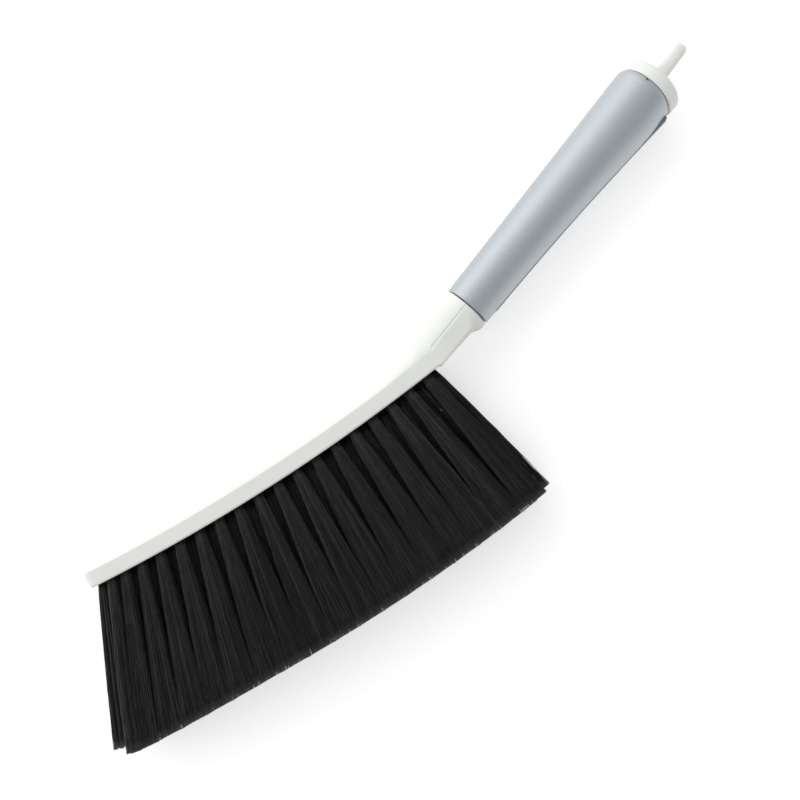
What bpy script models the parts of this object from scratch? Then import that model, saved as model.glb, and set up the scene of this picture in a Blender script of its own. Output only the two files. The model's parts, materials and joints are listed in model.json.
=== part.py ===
"""Bed brush: a curved white back set with black bristle tufts, and a sleeved handle.

Units are metres. The handle runs along X towards its hanging loop, the bristles point
to -Y, the brush lies on its side and Z is up. The sizes below are worked out around the
point where the grip sleeve begins on the handle's axis. At the end the whole brush is
moved so that the origin is the middle of its bounding box at the bottom.
"""

import math

import bmesh
import bpy
from mathutils import Matrix, Vector

# The bar that carries the bristles
BAR_LENGTH = 0.1834
BAR_WIDTH = 0.020
BAR_HEIGHT = 0.0096
BAR_SIDE_HEIGHT = 0.0070
BAR_CURVE_RADIUS = 0.890
BAR_EDGE_RADIUS = 0.0010
HEEL_SLOPE = math.radians(11.7)
HEEL_DROP = 0.0075
HEEL_STEP = 0.0008
TOE_CORNER_RADIUS = 0.0045
TOE_LOWER_RADIUS = 0.0010
TOE_UPPER_RADIUS = 0.0028
TOE_FALL = 0.0013
TOE_FALL_LENGTH = 0.045
PARTING_STEP = 0.0003

# The neck between the bar and the grip
NECK_LENGTH = 0.0284
NECK_WIDTH = 0.0184
NECK_DEPTH = 0.0089
NECK_RISE_LENGTH = 0.0512
NECK_EDGE_RADIUS = 0.0022
NECK_TURN_SHARE = 0.45
COLLAR_LENGTH = 0.0085
COLLAR_LAND = 0.0022
COLLAR_STEP = 0.0001

# The grip sleeve, its underside strip and the ribbed core that it slides over
GRIP_LENGTH = 0.1245
GRIP_NECK_RADIUS = 0.0110
GRIP_END_RADIUS = 0.0150
GRIP_UNDER_DROP = 0.0004
GRIP_UNDER_SAG = 0.0012
GRIP_WALL = 0.0028
GRIP_RIM_RADIUS = 0.0007
GRIP_SHOULDER_LENGTH = 0.0035
GRIP_SHOULDER_INSET = 0.0012
GRIP_RELIEF_LENGTH = 0.0150
GRIP_RELIEF_DEPTH = 0.0014
STRIP_WIDTH = 0.0080
STRIP_THICKNESS = 0.0015
STRIP_START = 0.0060
STRIP_END_MARGIN = 0.0032
STRIP_PROUD = 0.0002
STRIP_NOSE_LENGTH = 0.0015
CORE_RIB_THICKNESS = 0.0030
CORE_RIB_STEP = 0.0006
CORE_DISC_THICKNESS = 0.0025
CORE_DISC_COUNT = 4
CORE_SOCKET_FLOOR = 0.0020

# The end cap with its hanging loop
CAP_RADIUS = 0.0142
CAP_LENGTH = 0.0070
CAP_EDGE_RADIUS = 0.0025
CAP_BACK_EDGE = 0.0004
CAP_CROWN = 0.0008
CAP_TILT = math.radians(2.0)
SPIGOT_RADIUS = 0.0065
SPIGOT_LENGTH = 0.0120
SPIGOT_CHAMFER = 0.0006
LOOP_REACH = 0.0202
LOOP_WIDTH = 0.0175
LOOP_BAND = 0.0042
LOOP_THICKNESS = 0.0068
LOOP_TIP_THICKNESS = 0.0058
LOOP_EDGE_RADIUS = 0.0019
LOOP_TILT = math.radians(1.8)
LOOP_ROOT_DEPTH = 0.0030

# The tufts, set in blind holes in three rows
TUFT_PITCH = 0.0101
TUFT_ROW_OFFSET = 0.0060
TUFT_HOLE_RADIUS = 0.0024
TUFT_HOLE_DEPTH = 0.0060
TUFT_TOE_MARGIN = 0.0104
TUFT_HEEL_MARGIN = 0.0079
MIDDLE_TOE_MARGIN = 0.0040
MIDDLE_HEEL_MARGIN = 0.0048
TUFT_CROWDING = 0.0068
TUFT_CROWDING_FADE = 1.3
TUFT_ROOT_PROUD = 0.0004
BRISTLE_LENGTH = 0.0724
TOE_TRIM_EXTRA = 0.0044
TOE_TRIM_LENGTH = 0.070
TOE_TRIM_BEND = 1.4
TOE_TIP_CORNER = 0.0032
TOE_TIP_CORNER_LENGTH = 0.012
TOE_LEAN = math.radians(20.5)
MIDDLE_LEAN = math.radians(7.0)
HEEL_LEAN = math.radians(-3.5)
HEEL_SPLAY = math.radians(3.0)
HEEL_SPLAY_LENGTH = 0.012
STRANDS_PER_TUFT = 8
STRAND_GAP = 0.00024
STRAND_REACH_SHARE = 0.35
STRAND_REACH_ACROSS = 0.0021
STRAND_TIP_RADIUS = 0.0011

# Fits
CLEARANCE = 0.0003
NECK_GAP = 0.0004
CUT_OVERLAP = 0.0010

# Facet counts
CROWN_STEPS = 12
OVAL_SIDES = 36
CAP_SIDES = 36
HOLE_SIDES = 12

# What follows from the driving sizes
HALF_BAR = BAR_WIDTH / 2
COLLAR_RADIUS = GRIP_NECK_RADIUS - COLLAR_STEP
HEEL = Vector((-NECK_LENGTH, -HEEL_DROP))
CURVE_CENTRE = HEEL + BAR_CURVE_RADIUS * Vector((math.sin(HEEL_SLOPE), math.cos(HEEL_SLOPE)))
SPIGOT_HOLE_RADIUS = SPIGOT_RADIUS + CLEARANCE
SPIGOT_HOLE_DEPTH = SPIGOT_LENGTH + CLEARANCE
TUFT_RADIUS = TUFT_HOLE_RADIUS - CLEARANCE
TIP_HALF_WIDTH = GRIP_END_RADIUS
ROW_HALF_WIDTH = TUFT_ROW_OFFSET + STRAND_REACH_ACROSS
TIP_SPREAD = (TIP_HALF_WIDTH - STRAND_TIP_RADIUS) / ROW_HALF_WIDTH


# Shapes used by several pieces

def smooth_step(t):
    """Ease from 0 to 1 with level ends."""
    t = min(max(t, 0.0), 1.0)
    return t * t * (3 - 2 * t)


def mix(start, end, t):
    """The value a share t of the way from start to end."""
    return start + (end - start) * t


def rounding(distance, length, depth):
    """How far a rounded end falls back at this distance from it."""
    if distance >= length:
        return 0.0
    share = 1 - distance / length
    return depth * (1 - math.sqrt(max(0.0, 1 - share * share)))


def steps(start, end, count):
    """Evenly spaced values from start to end, both kept."""
    return [mix(start, end, i / count) for i in range(count + 1)]


def new_object(name, bm, material, parent):
    """An object that holds this mesh, with its faces out and its round sides smooth."""
    bmesh.ops.recalc_face_normals(bm, faces=bm.faces)
    mesh = bpy.data.meshes.new(name)
    bm.to_mesh(mesh)
    bm.free()
    mesh.shade_smooth()
    mesh.set_sharp_from_angle(angle=math.radians(30))
    obj = bpy.data.objects.new(name, mesh)
    bpy.context.scene.collection.objects.link(obj)
    obj.parent = parent
    if material:
        mesh.materials.append(material)
    return obj


def loft(rings, closed=False):
    """A skin over rings of equal count, with flat ends, or joined end to end."""
    bm = bmesh.new()
    loops = [[bm.verts.new(point) for point in ring] for ring in rings]
    pairs = list(zip(loops, loops[1:]))
    if closed:
        pairs.append((loops[-1], loops[0]))
    else:
        bm.faces.new(loops[0])
        bm.faces.new(loops[-1])
    for first, second in pairs:
        for i in range(len(first)):
            j = (i + 1) % len(first)
            bm.faces.new((first[i], first[j], second[j], second[i]))
    return bm


def guide(name, bm, parent):
    """A shape that only cuts or joins another piece."""
    obj = new_object(name, bm, None, parent)
    obj.hide_render = True
    obj.display_type = 'WIRE'
    return obj


def combine(obj, other, operation):
    """Cut another shape out of a piece, or join it on."""
    modifier = obj.modifiers.new(other.name, 'BOOLEAN')
    modifier.operation = operation
    modifier.solver = 'EXACT'
    modifier.object = other


def plastic(name, colour, roughness):
    """A plain moulded finish."""
    material = bpy.data.materials.new(name)
    material.use_nodes = True
    shader = material.node_tree.nodes["Principled BSDF"]
    shader.inputs["Base Color"].default_value = (*colour, 1.0)
    shader.inputs["Roughness"].default_value = roughness
    shader.inputs["Metallic"].default_value = 0.0
    material.diffuse_color = (*colour, 1.0)
    return material


# The back: bar, neck and collar in one moulding

def underside(s):
    """The bar's underside at distance s from the toe, and the way up from it."""
    angle = HEEL_SLOPE + (BAR_LENGTH - s) / BAR_CURVE_RADIUS
    up = Vector((math.sin(angle), math.cos(angle)))
    return CURVE_CENTRE - BAR_CURVE_RADIUS * up, up


def neck_top_line():
    """The straight back of the neck, from the bar's crown to the collar's top."""
    crown_radius = BAR_CURVE_RADIUS - BAR_HEIGHT
    across = CURVE_CENTRE.x + NECK_RISE_LENGTH
    start_y = CURVE_CENTRE.y - math.sqrt(crown_radius ** 2 - across ** 2)
    return Vector((-NECK_RISE_LENGTH, start_y)), Vector((0.0, COLLAR_RADIUS))


def reach(base, up, start, end):
    """How far along up from base the line through start and end lies."""
    along = end - start
    offset = start - base
    return (offset.x * along.y - offset.y * along.x) / (up.x * along.y - up.y * along.x)


def back_ring(base, up, half_width, side, top, edge):
    """A section: rounded lower corners, upright sides, a small step and a crown."""
    inner = half_width - PARTING_STEP
    half_corner = edge * (1 - math.sqrt(0.5))
    lower = [(inner - edge, 0.0), (inner - half_corner, half_corner), (inner, edge), (inner, side)]
    crown = []
    for angle in steps(0.0, math.pi, CROWN_STEPS):
        crown.append((half_width * math.cos(angle), side + (top - side) * math.sin(angle) ** 2))
    other_side = [(-z, height) for z, height in reversed(lower)]
    profile = lower + crown + other_side
    return [Vector((base.x + h * up.x, base.y + h * up.y, z)) for z, h in profile]


def bar_rings():
    """Sections from the toe to the heel."""
    line_start, line_end = neck_top_line()
    rise_angle = math.atan2(CURVE_CENTRE.x - line_start.x, CURVE_CENTRE.y - line_start.y)
    rise = BAR_LENGTH - (rise_angle - HEEL_SLOPE) * BAR_CURVE_RADIUS
    toe = [TOE_CORNER_RADIUS * share for share in (0.0, 0.05, 0.15, 0.3, 0.5, 0.75)]
    places = toe + steps(TOE_CORNER_RADIUS, rise, 13) + steps(rise, BAR_LENGTH, 3)[1:]
    rings = []
    for s in places:
        base, up = underside(s)
        corner = rounding(s, TOE_CORNER_RADIUS, TOE_CORNER_RADIUS)
        lower = rounding(s, TOE_LOWER_RADIUS, TOE_LOWER_RADIUS)
        upper = rounding(s, TOE_UPPER_RADIUS, TOE_UPPER_RADIUS)
        fall = TOE_FALL * (1 - smooth_step(s / TOE_FALL_LENGTH))
        top = max(BAR_HEIGHT - fall, reach(base, up, line_start, line_end))
        inset = lower + upper
        rings.append(back_ring(base + lower * up, up, HALF_BAR - corner, BAR_SIDE_HEIGHT - inset,
                               top - inset, BAR_EDGE_RADIUS))
    return rings


def neck_rings():
    """Sections from the heel to the collar's end face."""
    line_start, line_end = neck_top_line()
    collar_start = NECK_LENGTH - COLLAR_LENGTH
    flare_length = COLLAR_LENGTH - COLLAR_LAND
    rings = []
    shaft = [HEEL_STEP] + steps(0.0, collar_start, 7)[1:]
    flare = steps(collar_start, collar_start + flare_length, 6)[1:]
    for s in shaft + flare + [NECK_LENGTH - NECK_GAP]:
        turned = smooth_step(s / (NECK_LENGTH * NECK_TURN_SHARE))
        flared = smooth_step((s - collar_start) / flare_length)
        angle = HEEL_SLOPE * (1 - turned)
        up = Vector((math.sin(angle), math.cos(angle)))
        depth = mix(HEEL_DROP + HEEL_STEP, NECK_DEPTH, min(1.0, s / collar_start))
        base = Vector((s - NECK_LENGTH, -mix(depth, COLLAR_RADIUS + GRIP_UNDER_DROP, flared)))
        side = mix(BAR_SIDE_HEIGHT + HEEL_STEP, -base.y / up.y, turned)
        half_width = mix(mix(HALF_BAR, NECK_WIDTH / 2, turned), COLLAR_RADIUS, flared)
        edge = mix(mix(BAR_EDGE_RADIUS, NECK_EDGE_RADIUS, turned), COLLAR_RADIUS / 2, flared)
        top = reach(base, up, line_start, line_end)
        rings.append(back_ring(base, up, half_width, side, top, edge))
    return rings


# The grip: an oval tube on a ribbed core

def grip_side(x):
    """Radius of the grip's upper and side surface at x."""
    return mix(GRIP_NECK_RADIUS, GRIP_END_RADIUS, x / GRIP_LENGTH)


def grip_under(x):
    """Depth of the grip's hollowed underside at x."""
    t = x / GRIP_LENGTH
    return grip_side(x) + GRIP_UNDER_DROP - GRIP_UNDER_SAG * math.sin(math.pi * t)


def grip_relief(x):
    """How far the sleeve's underside draws in, towards the cap, to show the strip's end."""
    start = GRIP_LENGTH - GRIP_RELIEF_LENGTH
    return GRIP_RELIEF_DEPTH * smooth_step((x - start) / GRIP_RELIEF_LENGTH)


def oval_ring(x, side, under):
    """A ring round the handle's axis, slanted more and more towards the tilted cap."""
    slant = math.tan(CAP_TILT) * x / GRIP_LENGTH
    ring = []
    for k in range(OVAL_SIDES):
        angle = 2 * math.pi * k / OVAL_SIDES
        height = side if math.sin(angle) >= 0 else under
        y = height * math.sin(angle)
        ring.append(Vector((x + slant * y, y, side * math.cos(angle))))
    return ring


def skin_ring(x):
    """The sleeve's outer surface at x, with its rim and shoulder rounded."""
    rim = rounding(x, GRIP_RIM_RADIUS, GRIP_RIM_RADIUS)
    shoulder = rounding(GRIP_LENGTH - x, GRIP_SHOULDER_LENGTH, GRIP_SHOULDER_INSET)
    inset = rim + shoulder
    return oval_ring(x, grip_side(x) - inset, grip_under(x) - grip_relief(x) - inset)


def bore_ring(x, clearance=0.0):
    """The sleeve's bore at x, or what slides in it with a clearance."""
    inset = GRIP_WALL + clearance
    return oval_ring(x, grip_side(x) - inset, grip_under(x) - inset)


def make_sleeve(material, parent):
    """The grip sleeve, with the strip's groove along its underside."""
    rim = [GRIP_RIM_RADIUS * share for share in (0.0, 0.12, 0.4)]
    shoulder = [GRIP_LENGTH - GRIP_SHOULDER_LENGTH * share for share in (0.6, 0.3, 0.1, 0.0)]
    relief = GRIP_LENGTH - GRIP_RELIEF_LENGTH
    outer = rim + steps(GRIP_RIM_RADIUS, relief, 7)
    outer += steps(relief, GRIP_LENGTH - GRIP_SHOULDER_LENGTH, 4)[1:] + shoulder
    rings = [skin_ring(x) for x in outer]
    rings += [bore_ring(x) for x in reversed(steps(0.0, GRIP_LENGTH, 6))]
    sleeve = new_object("grip_sleeve", loft(rings, closed=True), material, parent)
    start = STRIP_START - CLEARANCE
    places = steps(start, GRIP_LENGTH + CUT_OVERLAP, 12)
    depth = STRIP_THICKNESS - STRIP_PROUD + CLEARANCE
    rings = [strip_ring(x, STRIP_WIDTH + 2 * CLEARANCE, CUT_OVERLAP, depth) for x in places]
    combine(sleeve, guide("strip_groove", loft(rings), parent), 'DIFFERENCE')
    return sleeve


def strip_ring(x, width, outward, inward):
    """A section whose two faces follow the grip's underside."""
    side = grip_side(x)
    under = grip_under(x)
    across = steps(-width / 2, width / 2, 6)
    arch = [math.sqrt(1 - (z / side) ** 2) for z in across]
    outer = [Vector((x, -(under + outward) * a, z)) for z, a in zip(across, arch)]
    inner = [Vector((x, -(under - inward) * a, z)) for z, a in zip(across, arch)]
    return outer + inner[::-1]


def make_strip(material, parent):
    """The dark strip, a little proud along the grip and clear of it at its end."""
    end = GRIP_LENGTH - STRIP_END_MARGIN
    nose = [STRIP_START + STRIP_NOSE_LENGTH * share for share in (0.0, 0.15, 0.45)]
    tail = [end - STRIP_NOSE_LENGTH * share for share in (0.45, 0.15, 0.0)]
    places = nose + steps(STRIP_START + STRIP_NOSE_LENGTH, end - STRIP_NOSE_LENGTH, 10) + tail
    rings = []
    for x in places:
        gone = rounding(x - STRIP_START, STRIP_NOSE_LENGTH, STRIP_THICKNESS / 2)
        gone += rounding(end - x, STRIP_NOSE_LENGTH, STRIP_THICKNESS / 2)
        rings.append(strip_ring(x, STRIP_WIDTH, STRIP_PROUD - gone, STRIP_THICKNESS - STRIP_PROUD))
    return new_object("grip_underside_strip", loft(rings), material, parent)


def core_rib(x, upright):
    """A section of one of the two crossed ribs, a step lower than the discs' edges."""
    half = CORE_RIB_THICKNESS / 2
    inset = GRIP_WALL + CLEARANCE + CORE_RIB_STEP
    side = math.sqrt((grip_side(x) - inset) ** 2 - half ** 2)
    under = math.sqrt((grip_under(x) - inset) ** 2 - half ** 2)
    slant = math.tan(CAP_TILT) * x / GRIP_LENGTH
    if upright:
        corners = [(-under, -half), (side, -half), (side, half), (-under, half)]
    else:
        corners = [(-half, -side), (half, -side), (half, side), (-half, side)]
    return [Vector((x + slant * y, y, z)) for y, z in corners]


def add_core(back, cap_frame, parent):
    """The core inside the sleeve: crossed ribs, spacer discs and the cap's socket."""
    end = GRIP_LENGTH - CLEARANCE
    socket_start = GRIP_LENGTH - SPIGOT_HOLE_DEPTH - CORE_SOCKET_FLOOR
    inside_collar = -NECK_GAP - CUT_OVERLAP
    hub = [bore_ring(x, CLEARANCE) for x in (inside_collar, CORE_DISC_THICKNESS)]
    combine(back, guide("core_hub", loft(hub), parent), 'UNION')
    for name, upright in (("core_rib_upright", True), ("core_rib_level", False)):
        places = steps(CORE_DISC_THICKNESS - CUT_OVERLAP, socket_start + CUT_OVERLAP, 4)
        rib = loft([core_rib(x, upright) for x in places])
        combine(back, guide(name, rib, parent), 'UNION')
    spacing = (socket_start - CORE_DISC_THICKNESS) / (CORE_DISC_COUNT + 1)
    for k in range(CORE_DISC_COUNT):
        start = CORE_DISC_THICKNESS + spacing * (k + 1) - CORE_DISC_THICKNESS / 2
        disc = [bore_ring(x, CLEARANCE) for x in (start, start + CORE_DISC_THICKNESS)]
        combine(back, guide(f"core_disc_{k + 1}", loft(disc), parent), 'UNION')
    block = [bore_ring(x, CLEARANCE) for x in (socket_start, end)]
    combine(back, guide("core_socket_block", loft(block), parent), 'UNION')
    hole = turned([(-SPIGOT_HOLE_DEPTH, 0.0), (-SPIGOT_HOLE_DEPTH, SPIGOT_HOLE_RADIUS),
                   (CUT_OVERLAP, SPIGOT_HOLE_RADIUS), (CUT_OVERLAP, 0.0)])
    combine(back, guide("spigot_hole", hole, cap_frame), 'DIFFERENCE')


# The end cap and its hanging loop

def turned(profile):
    """A solid turned round X from points given as distance along X and radius."""
    bm = bmesh.new()
    verts = [bm.verts.new((x, radius, 0.0)) for x, radius in profile]
    edges = [bm.edges.new(pair) for pair in zip(verts, verts[1:])]
    bmesh.ops.spin(bm, geom=verts + edges, cent=(0, 0, 0), axis=(1, 0, 0),
                   angle=2 * math.pi, steps=CAP_SIDES, use_merge=True)
    bmesh.ops.remove_doubles(bm, verts=bm.verts, dist=1e-6)
    return bm


def cap_profile():
    """Spigot, flat back of the flange, rim, rounded edge and crowned face."""
    edge_centre = (CAP_LENGTH - CAP_EDGE_RADIUS, CAP_RADIUS - CAP_EDGE_RADIUS)
    rounded = []
    for angle in steps(0.0, math.pi / 2, 5):
        rounded.append((edge_centre[0] + CAP_EDGE_RADIUS * math.sin(angle),
                        edge_centre[1] + CAP_EDGE_RADIUS * math.cos(angle)))
    return [
        (-SPIGOT_LENGTH, 0.0),
        (-SPIGOT_LENGTH, SPIGOT_RADIUS - SPIGOT_CHAMFER),
        (-SPIGOT_LENGTH + SPIGOT_CHAMFER, SPIGOT_RADIUS),
        (CLEARANCE, SPIGOT_RADIUS),
        (CLEARANCE, CAP_RADIUS - CAP_BACK_EDGE),
        (CLEARANCE + CAP_BACK_EDGE, CAP_RADIUS),
        *rounded,
        (CAP_LENGTH + CAP_CROWN * 0.6, CAP_RADIUS * 0.4),
        (CAP_LENGTH + CAP_CROWN, 0.0),
    ]


def loop_section(centre, outward, thickness):
    """A rounded rectangle across the loop's band."""
    half_band = LOOP_BAND / 2 - LOOP_EDGE_RADIUS
    half_thick = thickness / 2 - LOOP_EDGE_RADIUS
    points = []
    for quarter, (a, b) in enumerate(((1, 1), (-1, 1), (-1, -1), (1, -1))):
        for angle in steps(quarter * math.pi / 2, (quarter + 1) * math.pi / 2, 2):
            along = a * half_band + LOOP_EDGE_RADIUS * math.cos(angle)
            up = b * half_thick + LOOP_EDGE_RADIUS * math.sin(angle)
            points.append(centre + outward * along + Vector((0, up, 0)))
    return points


def loop_rings():
    """Sections along the loop: up one leg, round the end and down the other."""
    radius = (LOOP_WIDTH - LOOP_BAND) / 2
    turn_x = CAP_LENGTH + LOOP_REACH - LOOP_WIDTH / 2
    root_x = CAP_LENGTH - LOOP_ROOT_DEPTH
    tip_x = CAP_LENGTH + LOOP_REACH
    path = [(Vector((x, 0, radius)), Vector((0, 0, 1))) for x in steps(root_x, turn_x, 3)[:-1]]
    for angle in steps(0.0, math.pi, 12):
        outward = Vector((math.sin(angle), 0, math.cos(angle)))
        path.append((Vector((turn_x, 0, 0)) + radius * outward, outward))
    path += [(Vector((x, 0, -radius)), Vector((0, 0, -1))) for x in steps(turn_x, root_x, 3)[1:]]
    rings = []
    for centre, outward in path:
        share = (centre.x - root_x) / (tip_x - root_x)
        rings.append(loop_section(centre, outward, mix(LOOP_THICKNESS, LOOP_TIP_THICKNESS, share)))
    return rings


def make_cap(material, cap_frame):
    """The end cap, with its loop joined on."""
    cap = new_object("end_cap", turned(cap_profile()), material, cap_frame)
    loop = guide("hanging_loop", loft(loop_rings()), cap_frame)
    loop.rotation_euler = (0, 0, CAP_TILT + LOOP_TILT)
    combine(cap, loop, 'UNION')
    return cap


# The tufts

def lean_at(s):
    """Lean of the bristles away from the bar's own square, towards the toe."""
    t = s / BAR_LENGTH
    bend = 2 * (TOE_LEAN + HEEL_LEAN) - 4 * MIDDLE_LEAN
    splay = HEEL_SPLAY * smooth_step((s - BAR_LENGTH) / HEEL_SPLAY_LENGTH + 1)
    return TOE_LEAN + (HEEL_LEAN - TOE_LEAN - bend) * t + bend * t * t - splay


def bristle_length(s):
    """Length of the bristles at s: longer towards the toe, with the last corner cut off."""
    longer = max(0.0, 1 - s / TOE_TRIM_LENGTH) ** TOE_TRIM_BEND
    corner = max(0.0, 1 - s / TOE_TIP_CORNER_LENGTH)
    return BRISTLE_LENGTH + TOE_TRIM_EXTRA * longer - TOE_TIP_CORNER * corner


def fan(s, z, length):
    """A point on the bristle that leaves the underside at s and z, this far along it."""
    base, up = underside(s)
    lean = lean_at(s)
    down = Vector((-up.x * math.cos(lean) - up.y * math.sin(lean),
                   -up.y * math.cos(lean) + up.x * math.sin(lean)))
    flat = base + down * length
    spread = mix(1.0, TIP_SPREAD, length / bristle_length(s))
    return Vector((flat.x, flat.y, z * spread))


def tuft_frame(s, z):
    """The tuft's own frame: Z along its bristles, X along the bar, origin at the underside."""
    root = fan(s, z, 0.0)
    along = (fan(s, z, bristle_length(s)) - root).normalized()
    across = fan(s + TUFT_RADIUS, z, 0.0) - root
    across = (across - along * across.dot(along)).normalized()
    side = along.cross(across)
    rotation = Matrix((across, side, along)).transposed().to_4x4()
    return Matrix.Translation(root) @ rotation


def tuft_rows():
    """Distances from the toe along the outer rows and the middle row, closer at the toe."""
    row_length = BAR_LENGTH - TUFT_TOE_MARGIN - TUFT_HEEL_MARGIN + TUFT_CROWDING
    count = round(row_length / TUFT_PITCH)
    pitch = row_length / count

    def place(k):
        crowding = TUFT_CROWDING * (1 - math.exp(-k / TUFT_CROWDING_FADE))
        return TUFT_TOE_MARGIN + pitch * k - crowding

    outer = [place(k) for k in range(count + 1)]
    between = [place(k + 0.5) for k in range(count)]
    return outer, [MIDDLE_TOE_MARGIN] + between + [BAR_LENGTH - MIDDLE_HEEL_MARGIN]


def tuft_places():
    """Name, distance from the toe, side offset and room along the bar of every tuft."""
    outer, middle = tuft_rows()
    rows = {
        "near": (TUFT_ROW_OFFSET, outer),
        "middle": (0.0, middle),
        "far": (-TUFT_ROW_OFFSET, outer),
    }
    places = []
    for row, (z, distances) in rows.items():
        for k, s in enumerate(distances):
            room = min(abs(s - other) for other in distances if other != s)
            places.append((f"tuft_{row}_{k + 1:02d}", s, z, room))
    return places


def tuft_holes():
    """One cutter with a blind hole for each tuft."""
    bm = bmesh.new()
    depth = TUFT_HOLE_DEPTH + CUT_OVERLAP
    for _, s, z, _ in tuft_places():
        centre = Matrix.Translation((0, 0, (CUT_OVERLAP - TUFT_HOLE_DEPTH) / 2))
        bmesh.ops.create_cone(bm, cap_ends=True, segments=HOLE_SIDES, radius1=TUFT_HOLE_RADIUS,
                              radius2=TUFT_HOLE_RADIUS, depth=depth,
                              matrix=tuft_frame(s, z) @ centre)
    return bm


def strand_tip(s, z, room, angle):
    """Where the strand at this angle round the tuft ends, on a square in the tuft's room."""
    x, y = math.cos(angle), math.sin(angle)
    square = max(abs(x), abs(y))
    along = s + STRAND_REACH_SHARE * room * x / square
    across = z + STRAND_REACH_ACROSS * y / square
    return fan(along, across, bristle_length(along))


def make_tuft(name, s, z, room, material, parent):
    """A root plug in its hole, split at the underside into strands that spread apart."""
    frame = tuft_frame(s, z)
    root_depth = TUFT_HOLE_DEPTH - CLEARANCE
    depth = root_depth + TUFT_ROOT_PROUD
    bm = bmesh.new()
    bmesh.ops.create_cone(bm, cap_ends=True, segments=STRANDS_PER_TUFT, radius1=TUFT_RADIUS,
                          radius2=TUFT_RADIUS, depth=depth,
                          matrix=Matrix.Translation((0, 0, TUFT_ROOT_PROUD - depth / 2)))
    top = max(bm.faces, key=lambda face: face.calc_center_median().z)
    cells = bmesh.ops.poke(bm, faces=[top])["faces"]
    bmesh.ops.inset_individual(bm, faces=cells, thickness=STRAND_GAP / 2)
    strands = bmesh.ops.extrude_discrete_faces(bm, faces=cells)["faces"]
    to_local = frame.inverted()
    for face in strands:
        centre = face.calc_center_median()
        angle = math.atan2(centre.y, centre.x)
        tip = to_local @ strand_tip(s, z, room, angle)
        size = max((vert.co - centre).length for vert in face.verts)
        for vert in face.verts:
            vert.co = tip + (vert.co - centre) * (STRAND_TIP_RADIUS / size)
    tuft = new_object(name, bm, material, parent)
    tuft.matrix_local = frame
    return tuft


# The whole brush

def world_corners(objects):
    """Lowest and highest corner of what the pieces fill."""
    depsgraph = bpy.context.evaluated_depsgraph_get()
    points = []
    for obj in objects:
        evaluated = obj.evaluated_get(depsgraph)
        mesh = evaluated.to_mesh()
        points += [evaluated.matrix_world @ vert.co for vert in mesh.vertices]
        evaluated.to_mesh_clear()
    low = Vector([min(p[i] for p in points) for i in range(3)])
    high = Vector([max(p[i] for p in points) for i in range(3)])
    return low, high


def main():
    for obj in list(bpy.data.objects):
        bpy.data.objects.remove(obj)
    white = plastic("white_plastic", (0.86, 0.86, 0.83), 0.42)
    cap_white = plastic("cap_plastic", (0.86, 0.86, 0.83), 0.42)
    grey = plastic("grip_satin", (0.36, 0.41, 0.46), 0.38)
    dark = plastic("strip_rubber", (0.12, 0.125, 0.13), 0.60)

    brush = bpy.data.objects.new("brush_frame", None)
    bpy.context.scene.collection.objects.link(brush)
    cap_frame = bpy.data.objects.new("cap_frame", None)
    bpy.context.scene.collection.objects.link(cap_frame)
    cap_frame.parent = brush
    cap_frame.location = (GRIP_LENGTH, -GRIP_UNDER_DROP / 2, 0)
    cap_frame.rotation_euler = (0, 0, -CAP_TILT)

    back = new_object("brush_back", loft(bar_rings() + neck_rings()), white, brush)
    add_core(back, cap_frame, brush)
    combine(back, guide("tuft_holes", tuft_holes(), brush), 'DIFFERENCE')
    pieces = [
        back,
        make_sleeve(grey, brush),
        make_strip(dark, brush),
        make_cap(cap_white, cap_frame),
    ]
    for name, s, z, room in tuft_places():
        black = plastic(f"{name}_filament", (0.012, 0.012, 0.013), 0.45)
        pieces.append(make_tuft(name, s, z, room, black, brush))

    bpy.context.view_layer.update()
    low, high = world_corners(pieces)
    brush.location = (-(low.x + high.x) / 2, -(low.y + high.y) / 2, -low.z)
    bpy.context.view_layer.update()
    size = high - low
    print(f"brush {size.x * 1000:.1f} x {size.y * 1000:.1f} x {size.z * 1000:.1f} mm, "
          f"{len(pieces)} pieces")


main()
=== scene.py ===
# %% [markdown]
# A bed brush on a white table
#
# The brush has a long curved white back, a satin grey grip and black bristles. It lies on its
# side and is seen from straight above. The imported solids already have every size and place.
# This lesson builds the smooth mouldings and the thousands of bristles that the solids stand
# for, each one in the place of its solid.

import json
import math

import bmesh
import bpy
import numpy as np
from mathutils import Matrix, Vector

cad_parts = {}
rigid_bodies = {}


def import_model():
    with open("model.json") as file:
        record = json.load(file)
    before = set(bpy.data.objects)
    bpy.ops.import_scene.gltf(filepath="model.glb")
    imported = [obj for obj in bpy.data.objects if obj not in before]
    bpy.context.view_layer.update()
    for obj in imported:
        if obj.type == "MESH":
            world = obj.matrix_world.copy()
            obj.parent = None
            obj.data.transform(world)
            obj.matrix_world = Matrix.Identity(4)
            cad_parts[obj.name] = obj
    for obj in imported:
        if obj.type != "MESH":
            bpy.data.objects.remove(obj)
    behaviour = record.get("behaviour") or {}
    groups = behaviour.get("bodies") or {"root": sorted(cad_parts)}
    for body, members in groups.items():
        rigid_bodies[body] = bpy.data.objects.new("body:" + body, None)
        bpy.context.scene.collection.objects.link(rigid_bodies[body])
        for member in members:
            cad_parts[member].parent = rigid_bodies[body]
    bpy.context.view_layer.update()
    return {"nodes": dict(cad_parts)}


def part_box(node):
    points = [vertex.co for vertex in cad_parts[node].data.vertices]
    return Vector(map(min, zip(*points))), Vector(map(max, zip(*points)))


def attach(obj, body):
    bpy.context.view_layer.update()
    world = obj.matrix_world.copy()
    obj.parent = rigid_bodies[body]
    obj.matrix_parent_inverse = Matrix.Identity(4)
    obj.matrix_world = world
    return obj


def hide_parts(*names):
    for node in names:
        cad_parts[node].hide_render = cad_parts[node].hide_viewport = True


for leftover in list(bpy.data.objects):
    bpy.data.objects.remove(leftover)
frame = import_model()

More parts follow.
